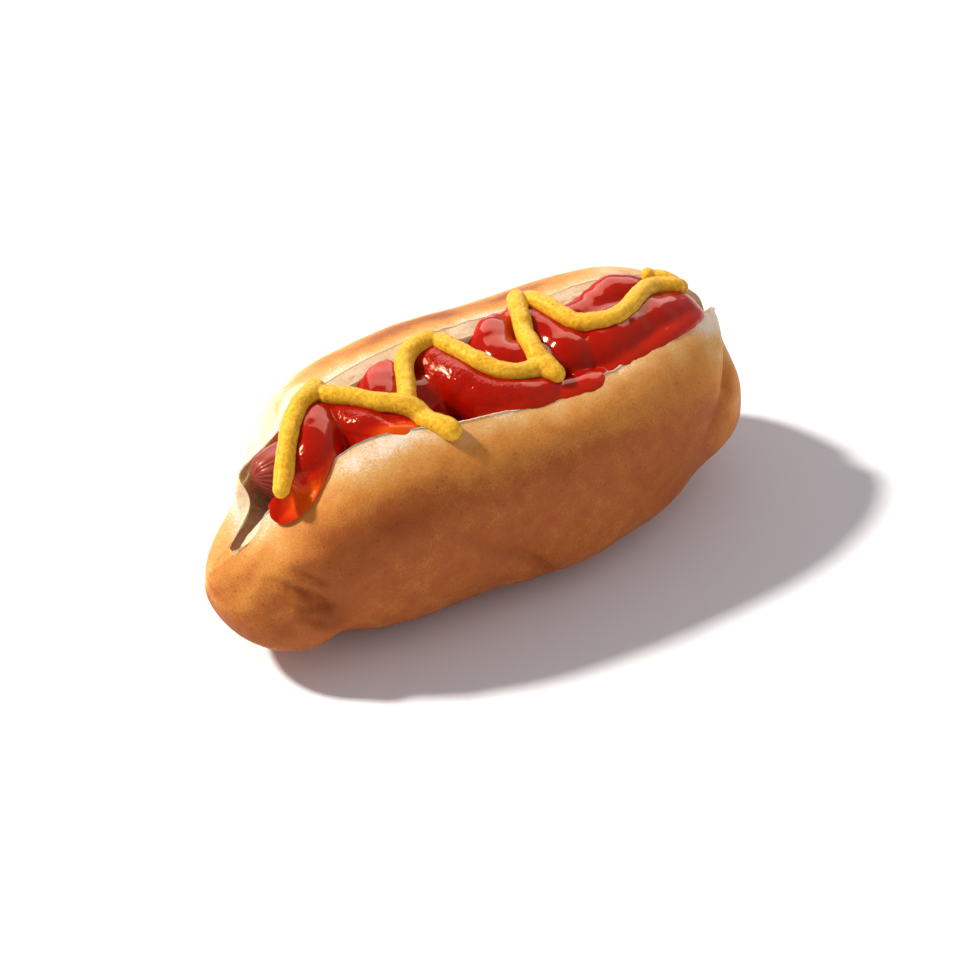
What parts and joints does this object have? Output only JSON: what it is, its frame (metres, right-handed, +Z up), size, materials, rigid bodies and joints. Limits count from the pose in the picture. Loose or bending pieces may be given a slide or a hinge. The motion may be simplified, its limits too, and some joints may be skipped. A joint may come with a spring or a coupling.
{
  "type": "hot dog",
  "caption": "Hot dog: a sausage in a split soft bun, under ketchup with a zigzag line of mustard along the top.",
  "frame": {"origin": "middle of the bun's flat base", "axes": "+X along the bun, towards its right end, +Y towards the taller far wall, +Z up"},
  "size_m": [0.1454, 0.0678, 0.0582],
  "materials": {
    "bread": "soft baked crust, pale at the lips and brown on the sides",
    "sausage": "smooth moist skin",
    "ketchup": "wet and glossy",
    "mustard": "moist, slightly grainy"
  },
  "bodies": {
    "root": {"bun": "bread", "sausage": "sausage", "ketchup": "ketchup", "mustard": "mustard"}
  },
  "joints": []
}
